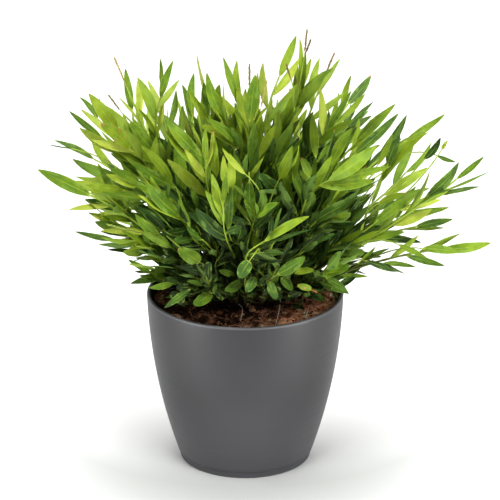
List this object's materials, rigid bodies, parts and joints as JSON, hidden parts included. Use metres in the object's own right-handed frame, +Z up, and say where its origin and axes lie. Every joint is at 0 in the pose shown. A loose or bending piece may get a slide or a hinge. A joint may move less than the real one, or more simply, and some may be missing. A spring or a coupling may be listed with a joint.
{
  "type": "potted bamboo grass",
  "caption": "Rounded clump of leafy bamboo grass culms growing from soil in a plain tapered cover pot that stands flat.",
  "frame": {"origin": "middle of the pot's flat underside", "axes": "+Z up along the pot's axis, -Y towards the plant's best side, +X to that side's right"},
  "size_m": [0.315, 0.251, 0.305],
  "materials": {
    "pot_plastic": "smooth satin anthracite",
    "potting_soil": "reddish-brown coir and peat, rough",
    "grass_leaf": "thin satin grass leaf, yellow-green to mid green"
  },
  "bodies": {
    "root": {"pot": "pot_plastic", "soil": "potting_soil", "culm_01": "grass_leaf", "culm_02": "grass_leaf", "culm_03": "grass_leaf", "culm_04": "grass_leaf", "culm_05": "grass_leaf", "culm_06": "grass_leaf", "culm_07": "grass_leaf", "culm_08": "grass_leaf", "culm_09": "grass_leaf", "culm_10": "grass_leaf", "culm_11": "grass_leaf", "culm_12": "grass_leaf", "culm_13": "grass_leaf", "culm_14": "grass_leaf", "culm_15": "grass_leaf", "culm_16": "grass_leaf", "culm_17": "grass_leaf", "culm_18": "grass_leaf", "culm_19": "grass_leaf", "culm_20": "grass_leaf", "culm_21": "grass_leaf", "culm_22": "grass_leaf", "culm_23": "grass_leaf", "culm_24": "grass_leaf", "culm_25": "grass_leaf", "culm_26": "grass_leaf", "culm_27": "grass_leaf", "culm_28": "grass_leaf", "culm_29": "grass_leaf", "culm_30": "grass_leaf", "culm_31": "grass_leaf", "culm_32": "grass_leaf", "culm_33": "grass_leaf", "culm_34": "grass_leaf", "culm_35": "grass_leaf", "culm_36": "grass_leaf", "culm_37": "grass_leaf", "culm_38": "grass_leaf", "culm_39": "grass_leaf", "culm_40": "grass_leaf", "culm_41": "grass_leaf", "culm_42": "grass_leaf", "culm_43": "grass_leaf", "culm_44": "grass_leaf", "culm_45": "grass_leaf", "culm_46": "grass_leaf", "culm_47": "grass_leaf", "culm_48": "grass_leaf", "culm_49": "grass_leaf", "culm_50": "grass_leaf", "culm_51": "grass_leaf", "culm_52": "grass_leaf", "culm_53": "grass_leaf", "culm_54": "grass_leaf", "culm_55": "grass_leaf", "culm_56": "grass_leaf"}
  },
  "joints": []
}
